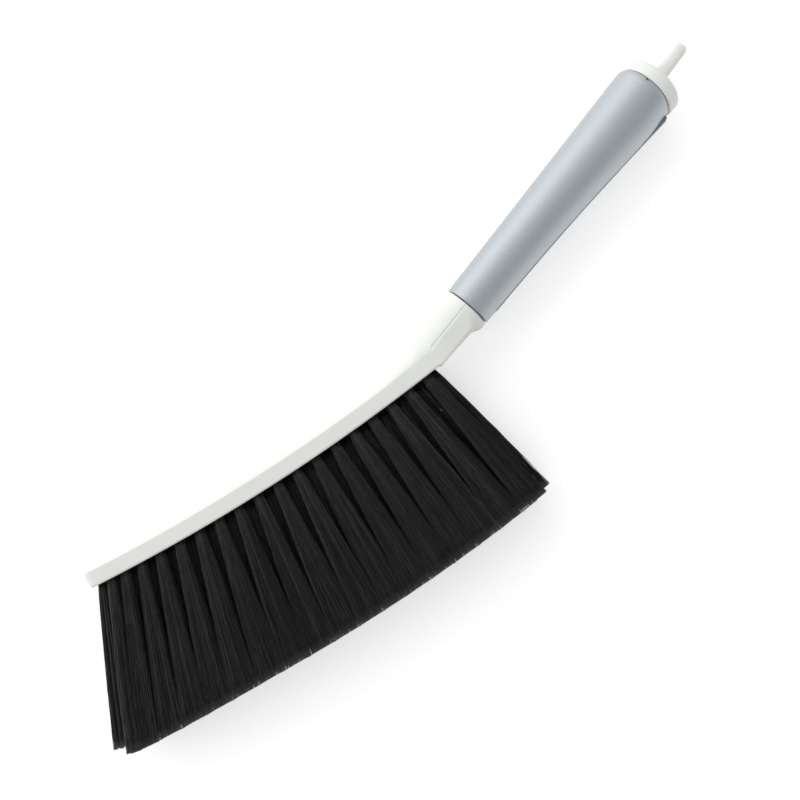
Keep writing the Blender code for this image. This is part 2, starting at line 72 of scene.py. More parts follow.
# %% [markdown]
# Every piece of the handle is built round one point: where the grip begins, on the handle's
# axis. The sleeve's solid tells where that is. Its radius grows evenly from the neck to the
# cap, so the axis lies one radius below the highest point of its back.

# %% The point where the grip begins
GRIP_LENGTH = 0.1245
GRIP_NECK_RADIUS = 0.0110
GRIP_END_RADIUS = 0.0150
SHOULDER_LENGTH = 0.0035
SHOULDER_INSET = 0.0012


def mix(start, end, share):
    """The value a share of the way from start to end."""
    return start + (end - start) * share


def grip_radius(x):
    """Radius of the grip's back and sides, this far from where it begins."""
    return mix(GRIP_NECK_RADIUS, GRIP_END_RADIUS, x / GRIP_LENGTH)


sleeve_low, sleeve_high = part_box("grip_sleeve")
axis_height = (sleeve_low.z + sleeve_high.z) / 2
axis_y = sleeve_high.y - grip_radius(GRIP_LENGTH - SHOULDER_LENGTH)
GRIP_START = Vector((sleeve_low.x, axis_y, axis_height))
print("the grip begins at", [round(v, 4) for v in GRIP_START])

# %% [markdown]
# The camera looks straight down from 403 mm above the handle's axis. So close, the tips of
# the bristles and the cap lean outwards a little, as they do in a product photograph taken
# near the brush. A turn of 50.2 degrees lays the brush along the picture's diagonal.

# %% The camera
CAMERA_RISE = 0.403
CAMERA_BEFORE_GRIP = 0.0514
CAMERA_BELOW_AXIS = 0.00375
CAMERA_TURN = math.radians(-50.2)
LENS = 40.39
SENSOR_WIDTH = 36.0
NEAREST = 0.01

lens = bpy.data.cameras.new("camera")
lens.lens = LENS
lens.sensor_width = SENSOR_WIDTH
lens.clip_start = NEAREST
camera = bpy.data.objects.new("camera", lens)
camera.location = GRIP_START + Vector((-CAMERA_BEFORE_GRIP, -CAMERA_BELOW_AXIS, CAMERA_RISE))
camera.rotation_euler = (0, 0, CAMERA_TURN)
bpy.context.scene.collection.objects.link(camera)
bpy.context.scene.camera = camera
bpy.context.scene.view_settings.view_transform = 'Standard'
print("camera at", [round(v, 4) for v in camera.location])

# %% [markdown]
# The studio is a pale floor under a soft white room. The room is brightest behind the
# brush's back, where a big soft window lamp stands low, and dim overhead, so the back of the
# grip shines and its middle stays dark. A white band along the horizon gives the shine its
# lower edge. The floor must look white and still hold the brush's shadow. So it adds a
# little light of its own, but only for what the camera sees, directly or in a shine.

# %% Helpers for node materials


def node_material(name):
    """A new node material, with its nodes, its links and its shader."""
    material = bpy.data.materials.new(name)
    material.use_nodes = True
    nodes = material.node_tree.nodes
    return material, nodes, material.node_tree.links, nodes["Principled BSDF"]


def math_node(nodes, links, operation, *values):
    """The result of a math node on these sockets and numbers."""
    node = nodes.new("ShaderNodeMath")
    node.operation = operation
    for socket, value in zip(node.inputs, values):
        if isinstance(value, bpy.types.NodeSocket):
            links.new(value, socket)
        else:
            socket.default_value = value
    return node.outputs["Value"]


def seen_or_shining(nodes, links):
    """A socket that is 1 for what the camera sees, directly, in a shine or through glass."""
    rays = nodes.new("ShaderNodeLightPath").outputs
    shine = math_node(nodes, links, 'MAXIMUM', rays["Is Glossy Ray"],
                      rays["Is Transmission Ray"])
    return math_node(nodes, links, 'MAXIMUM', rays["Is Camera Ray"], shine)


# %% The floor
FLOOR_SIZE = 6.0
FLOOR_COLOUR = (0.80, 0.80, 0.80, 1.0)
FLOOR_ROUGHNESS = 0.9
FLOOR_GLOW = 0.45

bpy.ops.mesh.primitive_plane_add(size=FLOOR_SIZE, location=(0, 0, 0))
floor = bpy.context.object
floor.name = "floor"
floor_material, nodes, links, shader = node_material("pale_floor")
shader.inputs["Base Color"].default_value = FLOOR_COLOUR
shader.inputs["Roughness"].default_value = FLOOR_ROUGHNESS
shader.inputs["Specular IOR Level"].default_value = 0.0
glow = nodes.new("ShaderNodeEmission")
glow.inputs["Strength"].default_value = FLOOR_GLOW
unlit = nodes.new("ShaderNodeEmission")
unlit.inputs["Strength"].default_value = 0.0
seen = nodes.new("ShaderNodeMixShader")
links.new(seen_or_shining(nodes, links), seen.inputs["Fac"])
links.new(unlit.outputs["Emission"], seen.inputs[1])
links.new(glow.outputs["Emission"], seen.inputs[2])
both = nodes.new("ShaderNodeAddShader")
links.new(shader.outputs["BSDF"], both.inputs[0])
links.new(seen.outputs["Shader"], both.inputs[1])
links.new(both.outputs["Shader"], nodes["Material Output"].inputs["Surface"])
floor.data.materials.append(floor_material)

# %% The room
WINDOW_WAY = (0.0, 0.90, 0.436)
ROOM_DIM = 0.53
ROOM_BRIGHTER = 0.46
HORIZON_WHITE = 0.95
HORIZON_HEIGHTS = (0.22, 0.40)

world = bpy.data.worlds.new("white_room")
bpy.context.scene.world = world
world.use_nodes = True
nodes, links = world.node_tree.nodes, world.node_tree.links
way = nodes.new("ShaderNodeTexCoord").outputs["Generated"]
towards = nodes.new("ShaderNodeVectorMath")
towards.operation = 'DOT_PRODUCT'
towards.inputs[1].default_value = WINDOW_WAY
links.new(way, towards.inputs[0])
facing = math_node(nodes, links, 'MAXIMUM', towards.outputs["Value"], 0.0)
room = math_node(nodes, links, 'MULTIPLY_ADD', facing, ROOM_BRIGHTER, ROOM_DIM)
apart = nodes.new("ShaderNodeSeparateXYZ")
links.new(way, apart.inputs["Vector"])
horizon = nodes.new("ShaderNodeMapRange")
horizon.interpolation_type = 'SMOOTHSTEP'
horizon.inputs["From Min"].default_value = HORIZON_HEIGHTS[0]
horizon.inputs["From Max"].default_value = HORIZON_HEIGHTS[1]
horizon.inputs["To Min"].default_value = HORIZON_WHITE
horizon.inputs["To Max"].default_value = 0.0
links.new(apart.outputs["Z"], horizon.inputs["Value"])
strength = math_node(nodes, links, 'MAXIMUM', room, horizon.outputs["Result"])
nodes["Background"].inputs["Color"].default_value = (1, 1, 1, 1)
links.new(strength, nodes["Background"].inputs["Strength"])
print("room light", ROOM_DIM, "overhead and", ROOM_DIM + ROOM_BRIGHTER, "at the window")

# %% The window lamp
LAMP_PLACE = (-0.10, 0.95, 0.50)
LAMP_SIZE = (2.2, 1.1)
LAMP_POWER = 6.8

lamp = bpy.data.lights.new("window", 'AREA')
lamp.shape = 'RECTANGLE'
lamp.size, lamp.size_y = LAMP_SIZE
lamp.energy = LAMP_POWER
window = bpy.data.objects.new("window", lamp)
window.location = LAMP_PLACE
window.rotation_euler = (-Vector(LAMP_PLACE)).to_track_quat('-Z', 'Y').to_euler()
bpy.context.scene.collection.objects.link(window)
print("lamp power", LAMP_POWER, "W over", LAMP_SIZE, "m")

# %% [markdown]
# Plastic is never one flat colour. A moulding has faint clouds in its tint and a fine skin
# that breaks up the shine, and one helper gives both to every finish. The grip is painted
# with a satin grey that has some metal in it, under a dull lacquer, which is why its shine is
# broad. The strip is matte rubber, dark grey rather than black.

# %% A helper for moulded finishes
CLOUD_SCALE = 60.0
CLOUD_EDGES = (0.3, 0.7)
UNEVEN_SHINE = 0.1
SKIN_SCALE = 2500.0
SKIN_DEPTH = 0.0001


def plastic(name, colour, roughness, metallic=0.0, tint=0.04, skin_relief=0.04):
    """A moulded finish: clouded tint, uneven shine and a fine skin."""
    material, nodes, links, shader = node_material(name)
    place = nodes.new("ShaderNodeTexCoord")
    clouds = nodes.new("ShaderNodeTexNoise")
    clouds.inputs["Scale"].default_value = CLOUD_SCALE
    clouds.inputs["Detail"].default_value = 3.0
    links.new(place.outputs["Object"], clouds.inputs["Vector"])
    tints = nodes.new("ShaderNodeValToRGB")
    tints.color_ramp.elements[0].position = CLOUD_EDGES[0]
    tints.color_ramp.elements[1].position = CLOUD_EDGES[1]
    tints.color_ramp.elements[0].color = (*(c * (1 - tint) for c in colour), 1)
    tints.color_ramp.elements[1].color = (*colour, 1)
    links.new(clouds.outputs["Fac"], tints.inputs["Fac"])
    links.new(tints.outputs["Color"], shader.inputs["Base Color"])
    shine = nodes.new("ShaderNodeMapRange")
    shine.inputs["To Min"].default_value = roughness * (1 - UNEVEN_SHINE)
    shine.inputs["To Max"].default_value = roughness * (1 + UNEVEN_SHINE)
    links.new(clouds.outputs["Fac"], shine.inputs["Value"])
    links.new(shine.outputs["Result"], shader.inputs["Roughness"])
    shader.inputs["Metallic"].default_value = metallic
    skin = nodes.new("ShaderNodeTexNoise")
    skin.inputs["Scale"].default_value = SKIN_SCALE
    skin.inputs["Detail"].default_value = 2.0
    links.new(place.outputs["Object"], skin.inputs["Vector"])
    bump = nodes.new("ShaderNodeBump")
    bump.inputs["Strength"].default_value = skin_relief
    bump.inputs["Distance"].default_value = SKIN_DEPTH
    links.new(skin.outputs["Fac"], bump.inputs["Height"])
    links.new(bump.outputs["Normal"], shader.inputs["Normal"])
    return material


# %% Finishes
WHITE = (0.85, 0.867, 0.825)
CAP_WHITE = (0.85, 0.865, 0.83)
GRIP_GREY = (0.455, 0.492, 0.521)
STRIP_GREY = (0.20, 0.206, 0.213)
GRIP_LACQUER = 0.8
GRIP_LACQUER_ROUGHNESS = 0.45

white_plastic = plastic("white_plastic", WHITE, roughness=0.42)
cap_plastic = plastic("cap_plastic", CAP_WHITE, roughness=0.38)
grip_satin = plastic("grip_satin", GRIP_GREY, roughness=0.52, metallic=0.85, tint=0.03,
                     skin_relief=0.1)
grip_shader = grip_satin.node_tree.nodes["Principled BSDF"]
grip_shader.inputs["Coat Weight"].default_value = GRIP_LACQUER
grip_shader.inputs["Coat Roughness"].default_value = GRIP_LACQUER_ROUGHNESS
strip_rubber = plastic("strip_rubber", STRIP_GREY, roughness=0.62, tint=0.15, skin_relief=0.6)
print("finishes:", white_plastic.name, cap_plastic.name, grip_satin.name, strip_rubber.name)

# %% [markdown]
# Each rigid piece is a loft: a row of cross-sections with a skin over them. On the real brush
# they are injection mouldings, drawn in just this way. The solids do the same with few faces.
# Here the sections stand a millimetre or two apart, and far closer where a surface turns, so
# the light runs over them smoothly.

# %% Helpers for rounded ends


def smooth_step(share):
    """Ease from 0 to 1 with level ends."""
    share = min(max(share, 0.0), 1.0)
    return share * share * (3 - 2 * share)


def rounding(distance, length, depth):
    """How far a rounded end falls back at this distance from it."""
    if distance >= length:
        return 0.0
    share = 1 - distance / length
    return depth * (1 - math.sqrt(max(0.0, 1 - share * share)))


# %% Helpers for lofts
WELD_DISTANCE = 1e-7


def link(name, mesh):
    """An object in the scene for this mesh."""
    obj = bpy.data.objects.new(name, mesh)
    bpy.context.scene.collection.objects.link(obj)
    return obj


def clean(obj):
    """Weld the mesh's doubled points and turn its faces outwards."""
    bm = bmesh.new()
    bm.from_mesh(obj.data)
    bmesh.ops.remove_doubles(bm, verts=bm.verts, dist=WELD_DISTANCE)
    bmesh.ops.recalc_face_normals(bm, faces=bm.faces)
    bm.to_mesh(obj.data)
    bm.free()
    return obj


def loft(name, rings, closed=False):
    """A skin over rings, given round the grip's start, set down where the brush is."""
    rings = np.array(rings) + np.array(GRIP_START)
    count, around = rings.shape[:2]
    index = np.arange(count * around).reshape(count, around)
    following = np.roll(index, -1, axis=1)
    faces = []
    for here in range(count if closed else count - 1):
        after = (here + 1) % count
        faces += list(zip(index[here], following[here], following[after], index[after]))
    if not closed:
        faces += [tuple(index[0]), tuple(index[-1])]
    faces = [tuple(map(int, face)) for face in faces]
    mesh = bpy.data.meshes.new(name)
    mesh.from_pydata(rings.reshape(-1, 3).tolist(), [], faces)
    return clean(link(name, mesh))


# %% Helpers for whole pieces
SHARP_ANGLE = math.radians(32)


def combine(obj, others, operation):
    """Join other shapes onto a piece, or cut them out, and keep the result."""
    for other in others:
        modifier = obj.modifiers.new(operation, 'BOOLEAN')
        modifier.operation = operation
        modifier.solver = 'EXACT'
        modifier.object = other
    graph = bpy.context.evaluated_depsgraph_get()
    mesh = bpy.data.meshes.new_from_object(obj.evaluated_get(graph))
    obj.modifiers.clear()
    obj.data = mesh
    for other in others:
        bpy.data.objects.remove(other)
    return clean(obj)


def finish(obj, node, material):
    """Smooth the piece, give it its finish and let it stand for its solid."""
    obj.data.shade_smooth()
    obj.data.set_sharp_from_angle(angle=SHARP_ANGLE)
    obj.data.materials.clear()
    obj.data.materials.append(material)
    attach(obj, "root")
    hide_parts(node)
    print(obj.name, "faces", len(obj.data.polygons))


# %% [markdown]
# The back is one moulding: the bar, the neck and the collar that meets the grip. Its sides are
# flat and draw in a little towards the bristles, because a moulding must leave its mould. A
# parting line runs where the two halves of the mould met. Above it the back is rounded.

# %% The bar's curve
BAR_LENGTH = 0.1834
HALF_BAR = 0.0100
BAR_HEIGHT = 0.0096
BAR_SIDE_HEIGHT = 0.0070
BAR_CURVE_RADIUS = 0.890
HEEL_SLOPE = math.radians(11.7)
HEEL_DROP = 0.0075
HEEL_STEP = 0.0008
NECK_LENGTH = 0.0284
NECK_RISE_LENGTH = 0.0512
COLLAR_RADIUS = 0.0109

HEEL = np.array((-NECK_LENGTH, -HEEL_DROP))
CURVE_CENTRE = HEEL + BAR_CURVE_RADIUS * np.array((math.sin(HEEL_SLOPE), math.cos(HEEL_SLOPE)))


def underside(s):
    """The bar's underside at distance s from the toe, and the way up from it."""
    angle = HEEL_SLOPE + (BAR_LENGTH - s) / BAR_CURVE_RADIUS
    up = np.array((math.sin(angle), math.cos(angle)))
    return CURVE_CENTRE - BAR_CURVE_RADIUS * up, up


crown_radius = BAR_CURVE_RADIUS - BAR_HEIGHT
rise_across = CURVE_CENTRE[0] + NECK_RISE_LENGTH
rise_y = CURVE_CENTRE[1] - math.sqrt(crown_radius ** 2 - rise_across ** 2)
TOP_START = np.array((-NECK_RISE_LENGTH, rise_y))
TOP_END = np.array((0.0, COLLAR_RADIUS))


def height_of_neck_top(base, up):
    """How far above this base the straight back of the neck passes."""
    along = TOP_END - TOP_START
    offset = TOP_START - base
    return (offset[0] * along[1] - offset[1] * along[0]) / (up[0] * along[1] - up[1] * along[0])


print("toe at", underside(0)[0].round(4), "heel at", HEEL.round(4))

# %% A cross-section of the back
CORNER_STEPS = 6
SIDE_STEPS = 5
CROWN_STEPS = 48
CROWN_START = math.radians(8.0)
GROOVE_WIDTH = 0.00018


def back_section(base, up, half, low_half, side, top, edge, groove):
    """Rounded lower corners, drawn-in sides, the parting groove and a crowned back."""
    lower = []
    for angle in np.linspace(-math.pi / 2, 0, CORNER_STEPS + 1):
        lower.append((low_half - edge + edge * math.cos(angle), edge + edge * math.sin(angle)))
    for share in np.linspace(0, 1, SIDE_STEPS + 1)[1:]:
        lower.append((mix(low_half, half, share), mix(edge, side - GROOVE_WIDTH, share)))
    lower.append((half - groove, side - GROOVE_WIDTH / 2))
    crown = []
    low = math.sin(CROWN_START)
    for angle in np.linspace(CROWN_START, math.pi - CROWN_START, CROWN_STEPS + 1):
        crown.append((half * math.cos(angle) / math.cos(CROWN_START),
                      side + (top - side) * (math.sin(angle) - low) / (1 - low)))
    profile = lower + crown + [(-z, h) for z, h in reversed(lower)]
    return [(base[0] + h * up[0], base[1] + h * up[1], z) for z, h in profile]


# %% Sections along the bar
TOE_CORNER_RADIUS = 0.0045
TOE_LOWER_RADIUS = 0.0010
TOE_UPPER_RADIUS = 0.0028
TOE_FALL = 0.0013
TOE_FALL_LENGTH = 0.045
BAR_EDGE_RADIUS = 0.0010
BAR_DRAFT = 0.0004
HEEL_SIDE_RISE = 0.0006
HEEL_SIDE_LENGTH = 0.030
TOE_STATIONS = 14
BAR_STATIONS = 150

toe = TOE_CORNER_RADIUS * (1 - np.cos(np.linspace(0, math.pi / 2, TOE_STATIONS)))
stations = np.concatenate((toe, np.linspace(TOE_CORNER_RADIUS, BAR_LENGTH, BAR_STATIONS)[1:]))
rings = []
for s in stations:
    base, up = underside(s)
    corner = rounding(s, TOE_CORNER_RADIUS, TOE_CORNER_RADIUS)
    lower = rounding(s, TOE_LOWER_RADIUS, TOE_LOWER_RADIUS)
    upper = rounding(s, TOE_UPPER_RADIUS, TOE_UPPER_RADIUS)
    fall = TOE_FALL * (1 - smooth_step(s / TOE_FALL_LENGTH))
    top = max(BAR_HEIGHT - fall, height_of_neck_top(base, up)) - lower - upper
    half = HALF_BAR - corner
    heel_rise = HEEL_SIDE_RISE * smooth_step((s - BAR_LENGTH) / HEEL_SIDE_LENGTH + 1)
    side = BAR_SIDE_HEIGHT + heel_rise - lower - upper
    rings.append(back_section(base + lower * up, up, half, half - BAR_DRAFT, side, top,
                              BAR_EDGE_RADIUS, 0.0))
print("bar sections:", len(rings))

# %% [markdown]
# On the neck the parting line is a fine open groove that runs up to the grip. It starts with
# a small jog just behind the heel. The lower half of the neck draws in more than the bar, so
# it faces away from the lamp and looks greyer. The collar then swells to the grip's round.

# %% A cross-section of the neck
NECK_HALF_WIDTH = 0.0092
NECK_DEPTH = 0.0089
NECK_EDGE_RADIUS = 0.0022
NECK_DRAFT = 0.0013
NECK_TURN_LENGTH = 0.0128
COLLAR_LENGTH = 0.0085
COLLAR_LAND = 0.0022
COLLAR_UNDER = 0.0113
COLLAR_SLANT = 0.0007
COLLAR_ROUNDNESS = 0.97
JOG_START = 0.0006
JOG_END = 0.0020
LINE_START_Y = 0.0005
LINE_END_Y = 0.0010
GROOVE_DEPTH = 0.00016

collar_start = NECK_LENGTH - COLLAR_LENGTH
flare_length = COLLAR_LENGTH - COLLAR_LAND


def neck_section(s, inset=0.0):
    """The section this far behind the heel, drawn in all round by the inset."""
    turned = smooth_step(s / NECK_TURN_LENGTH)
    flared = smooth_step((s - collar_start) / flare_length)
    angle = HEEL_SLOPE * (1 - turned)
    up = np.array((math.sin(angle), math.cos(angle)))
    depth = mix(HEEL_DROP + HEEL_STEP, NECK_DEPTH, min(1.0, s / collar_start))
    base = np.array((s - NECK_LENGTH, -mix(depth, COLLAR_UNDER, flared)))
    bar_side = BAR_SIDE_HEIGHT + HEEL_SIDE_RISE + HEEL_STEP
    line_y = mix(LINE_START_Y, LINE_END_Y, s / NECK_LENGTH)
    jog = smooth_step((s - JOG_START) / (JOG_END - JOG_START))
    side = mix(bar_side, (line_y - base[1]) / up[1], jog) - inset
    half = mix(mix(HALF_BAR, NECK_HALF_WIDTH, turned), COLLAR_RADIUS, flared) - inset
    draft = mix(mix(BAR_DRAFT, NECK_DRAFT, turned), 0.0, flared)
    edge = mix(mix(BAR_EDGE_RADIUS, NECK_EDGE_RADIUS, turned), COLLAR_RADIUS * COLLAR_ROUNDNESS,
               flared)
    top = height_of_neck_top(base, up) - 2 * inset
    ring = back_section(base + inset * up, up, half, half - draft, side, top,
                        edge - inset * flared, GROOVE_DEPTH * jog)
    slant = COLLAR_SLANT * flared
    return [(x - slant * (COLLAR_RADIUS - y) / (2 * COLLAR_RADIUS), y, z) for x, y, z in ring]


# %% One skin over the bar and the neck
COLLAR_CHAMFER = 0.0003
COLLAR_CHAMFER_STEPS = 4
NECK_GAP = 0.0003
NECK_STATIONS = 90

neck_end = NECK_LENGTH - NECK_GAP
rings.append(neck_section(HEEL_STEP))
for s in np.linspace(HEEL_STEP, neck_end - COLLAR_CHAMFER, NECK_STATIONS)[1:]:
    rings.append(neck_section(s))
for angle in np.linspace(0, math.pi / 2, COLLAR_CHAMFER_STEPS + 1)[1:]:
    rings.append(neck_section(neck_end - COLLAR_CHAMFER * (1 - math.sin(angle)),
                              COLLAR_CHAMFER * (1 - math.cos(angle))))
back = loft("bar_and_neck", rings)
print("back sections:", len(rings))

# %% [markdown]
# The grip slides over a ribbed core that belongs to the same moulding. Nothing of it shows,
# so it is taken over from the solid: a copy is cut off behind the collar and joined on with a
# short round link. The holes for the tufts come next, and they are found in the tufts' solids.

# %% A helper for round rods


def rod(name, start, end, radius, sides):
    """A round rod between two points."""
    mesh = bpy.data.meshes.new(name)
    bm = bmesh.new()
    way = Vector(end) - Vector(start)
    turn = way.to_track_quat('Z', 'Y').to_matrix().to_4x4()
    middle = Matrix.Translation((Vector(start) + Vector(end)) / 2)
    bmesh.ops.create_cone(bm, cap_ends=True, segments=sides, radius1=radius, radius2=radius,
                          depth=way.length, matrix=middle @ turn)
    bm.to_mesh(mesh)
    bm.free()
    return link(name, mesh)


# %% The core inside the grip
CORE_CUT = 0.0002
LINK_RADIUS = 0.0078
LINK_START = -0.0022
LINK_END = 0.0015
LINK_SIDES = 48

core = clean(link("core", frame["nodes"]["brush_back"].data.copy()))
bm = bmesh.new()
bm.from_mesh(core.data)
cut = bmesh.ops.bisect_plane(bm, geom=bm.verts[:] + bm.edges[:] + bm.faces[:],
                             plane_co=GRIP_START + Vector((CORE_CUT, 0, 0)),
                             plane_no=(1, 0, 0), clear_inner=True)
cut_edges = [edge for edge in cut["geom_cut"] if isinstance(edge, bmesh.types.BMEdge)]
bmesh.ops.contextual_create(bm, geom=cut_edges)
bm.to_mesh(core.data)
bm.free()
short_link = rod("link", GRIP_START + Vector((LINK_START, 0, 0)),
                 GRIP_START + Vector((LINK_END, 0, 0)), LINK_RADIUS, LINK_SIDES)
back = combine(back, [short_link, clean(core)], 'UNION')
print("back with its core, faces", len(back.data.polygons))

# %% [markdown]
# A tuft is a bundle of filaments pinched in a hole. They leave the hole side by side and
# spread until they meet their neighbours. The tuft's solid shows the way: its plug tells
# where the bundle starts, and its eight strands tell how far it spreads.

# %% Where a tuft starts and how far it spreads
PLUG_POINTS = 8
TIP_POINTS = 24
EDGE_POINTS = 6
BAR_WAY = np.array((1.0, 0.0, 0.0))
WIDTH_WAY = np.array((0.0, 0.0, 1.0))


def tuft_shape(name):
    """Bottom and top of the plug, tip middle and half spreads along and across the bar."""
    mesh = frame["nodes"][name].data
    points = np.array([vert.co for vert in mesh.vertices])
    points = np.unique(np.round(points, 7), axis=0)
    middle = points.mean(axis=0)
    direction = np.linalg.svd(points - middle)[2][0]
    if direction[1] > 0:
        direction = -direction
    order = np.argsort((points - middle) @ direction)
    bottom = points[order[:PLUG_POINTS]].mean(axis=0)
    top = points[order[PLUG_POINTS:-TIP_POINTS]].mean(axis=0)
    tips = points[order[-TIP_POINTS:]]
    spreads = []
    for way in (BAR_WAY, WIDTH_WAY):
        ranked = tips[np.argsort(tips @ way)]
        first, last = ranked[:EDGE_POINTS], ranked[-EDGE_POINTS:]
        spreads.append((last.mean(axis=0) - first.mean(axis=0)) / 2)
    return bottom, top, tips.mean(axis=0), spreads[0], spreads[1]


tuft_names = sorted(name for name in frame["nodes"] if name.startswith("tuft_"))
tufts = {name: tuft_shape(name) for name in tuft_names}
print("tufts:", len(tufts))

# %% [markdown]
# The holes are drilled before the tufts are shot in. Each one is as wide as its bundle, and
# runs along its own tuft's direction. Cutters that are joined into one object need one cut
# instead of fifty-five.

# %% A hole in the bar for every tuft
HOLE_RADIUS = 0.0024
HOLE_SIDES = 32
HOLE_OVERLAP = 0.0010

cutters = []
for name, (bottom, top, tip, along, across) in tufts.items():
    mouth = Vector(top) + Vector(top - bottom).normalized() * HOLE_OVERLAP
    cutters.append(rod("hole", bottom, mouth, HOLE_RADIUS, HOLE_SIDES))
with bpy.context.temp_override(active_object=cutters[0], selected_editable_objects=cutters):
    bpy.ops.object.join()
back = combine(back, [cutters[0]], 'DIFFERENCE')
finish(back, "brush_back", white_plastic)

# %% [markdown]
# The sleeve is a satin tapered tube. Its ends are not plain cuts: at the neck a thin lip ends
# in a bead, and towards the cap it rounds over, with a small notch where the mould was
# filled. A loft with closely set sections at the ends gives all of these in one skin.

# %% The grip's surfaces
GRIP_UNDER_DROP = 0.0004
GRIP_UNDER_SAG = 0.0012
GRIP_WALL = 0.0028
GRIP_RIM_RADIUS = 0.0007
GRIP_RELIEF_LENGTH = 0.0150
GRIP_RELIEF_DEPTH = 0.0014
CAP_TILT = math.radians(2.0)
SLEEVE_SIDES = 144
SLEEVE_ANGLES = np.linspace(0, 2 * math.pi, SLEEVE_SIDES, endpoint=False)


def grip_under(x):
    """Depth of the grip's hollowed underside at x."""
    sag = GRIP_UNDER_SAG * math.sin(math.pi * x / GRIP_LENGTH)
    return grip_radius(x) + GRIP_UNDER_DROP - sag


def grip_relief(x):
    """How far the underside draws in towards the cap, to show the strip's end."""
    share = (x - GRIP_LENGTH + GRIP_RELIEF_LENGTH) / GRIP_RELIEF_LENGTH
    return GRIP_RELIEF_DEPTH * smooth_step(share)


def oval(x, side, under):
    """A ring round the handle's axis, slanted more and more towards the tilted cap."""
    slant = math.tan(CAP_TILT) * x / GRIP_LENGTH
    y = np.where(np.sin(SLEEVE_ANGLES) >= 0, side, under) * np.sin(SLEEVE_ANGLES)
    return np.stack((x + slant * y, y, side * np.cos(SLEEVE_ANGLES)), axis=1)


# %% Where the sleeve's sections stand
BEAD_PLACE = 0.0016
BEAD_WIDTH = 0.0004
BEAD_DEPTH = 0.00012
CAP_BEAD_MARGIN = 0.0040
CAP_BEAD_DEPTH = 0.00005
RIM_STATIONS = 7
BEAD_STATIONS = 13
BODY_STATIONS = 50
RELIEF_STATIONS = 40
SHOULDER_STATIONS = 19


def groove_depth(x):
    """Depth of the fine grooves that set off the bead at each end."""
    near = math.exp(-((x - BEAD_PLACE) / BEAD_WIDTH) ** 2)
    far = math.exp(-((GRIP_LENGTH - CAP_BEAD_MARGIN - x) / BEAD_WIDTH) ** 2)
    return BEAD_DEPTH * near + CAP_BEAD_DEPTH * far


relief_start = GRIP_LENGTH - GRIP_RELIEF_LENGTH
shoulder_start = GRIP_LENGTH - SHOULDER_LENGTH
rim = GRIP_RIM_RADIUS * (1 - np.cos(np.linspace(0, math.pi / 2, RIM_STATIONS)))
bead = np.linspace(GRIP_RIM_RADIUS, 2 * BEAD_PLACE, BEAD_STATIONS)[1:]
body = np.linspace(2 * BEAD_PLACE, relief_start, BODY_STATIONS)[1:]
relief = np.linspace(relief_start, shoulder_start, RELIEF_STATIONS)[1:]
turn = np.linspace(0, math.pi / 2, SHOULDER_STATIONS)[1:]
shoulder = np.append((GRIP_LENGTH - SHOULDER_LENGTH * np.cos(turn))[:-1], GRIP_LENGTH)
sleeve_stations = np.concatenate((rim, bead, body, relief, shoulder))
print("sleeve sections:", len(sleeve_stations))

# %% The sleeve
NOTCH_ANGLE = math.radians(10.3)
NOTCH_HALF_ANGLE = math.radians(2.2)
NOTCH_DEPTH = 0.0011
NOTCH_LENGTH = 0.0011
BORE_STATIONS = 8

rings = []
for x in sleeve_stations:
    inset = rounding(x, GRIP_RIM_RADIUS, GRIP_RIM_RADIUS) + groove_depth(x)
    inset += rounding(GRIP_LENGTH - x, SHOULDER_LENGTH, SHOULDER_INSET)
    ring = oval(x, grip_radius(x) - inset, grip_under(x) - grip_relief(x) - inset)
    if x > GRIP_LENGTH - NOTCH_LENGTH:
        notch = np.abs(SLEEVE_ANGLES - NOTCH_ANGLE) < NOTCH_HALF_ANGLE
        ring[notch, 1:] *= 1 - NOTCH_DEPTH / grip_radius(x)
    rings.append(ring)
for x in np.linspace(GRIP_LENGTH, 0, BORE_STATIONS):
    rings.append(oval(x, grip_radius(x) - GRIP_WALL, grip_under(x) - GRIP_WALL))
sleeve = loft("sleeve", rings, closed=True)

# %% [markdown]
# The dark strip lies in a groove along the sleeve's underside, a hair proud of it. Groove and
# strip are drawn from one section, so they always fit. The strip is narrow along the grip and
# widens near the cap, where the sleeve draws in. That is why only its end shows from above.

# %% A cross-section of the strip
STRIP_WIDTH = 0.0080
STRIP_NARROW_WIDTH = 0.0044
STRIP_WIDE_FROM = 0.0120
STRIP_WIDENING = 0.0120
STRIP_ACROSS = 18


def strip_section(x, play, outward, inward):
    """A section of the strip, or with play of its groove, that follows the underside."""
    widened = smooth_step((x - GRIP_LENGTH + STRIP_WIDE_FROM) / STRIP_WIDENING + 1)
    width = mix(STRIP_NARROW_WIDTH, STRIP_WIDTH, widened) + 2 * play
    z = np.linspace(-width / 2, width / 2, STRIP_ACROSS + 1)
    arch = np.sqrt(1 - (z / grip_radius(x)) ** 2)
    rows = []
    for height, places in ((grip_under(x) + outward, slice(None)),
                           (grip_under(x) - inward, slice(None, None, -1))):
        rows.append(np.stack((np.full(len(z), x), -height * arch, z), axis=1)[places])
    return np.concatenate(rows)


# %% The groove in the sleeve
STRIP_THICKNESS = 0.0015
STRIP_PROUD = 0.0002
STRIP_START = 0.0060
STRIP_GAP = 0.00015
STRIP_STATIONS = 80
GROOVE_OVERLAP = 0.0010

strip_depth = STRIP_THICKNESS - STRIP_PROUD
groove_rings = []
for x in np.linspace(STRIP_START - STRIP_GAP, GRIP_LENGTH + GROOVE_OVERLAP, STRIP_STATIONS):
    groove_rings.append(strip_section(x, STRIP_GAP, GROOVE_OVERLAP, strip_depth + STRIP_GAP))
sleeve = combine(sleeve, [loft("groove", groove_rings)], 'DIFFERENCE')
finish(sleeve, "grip_sleeve", grip_satin)

# %% The strip
STRIP_END_MARGIN = 0.0032
STRIP_NOSE_LENGTH = 0.0015
NOSE_STATIONS = 8

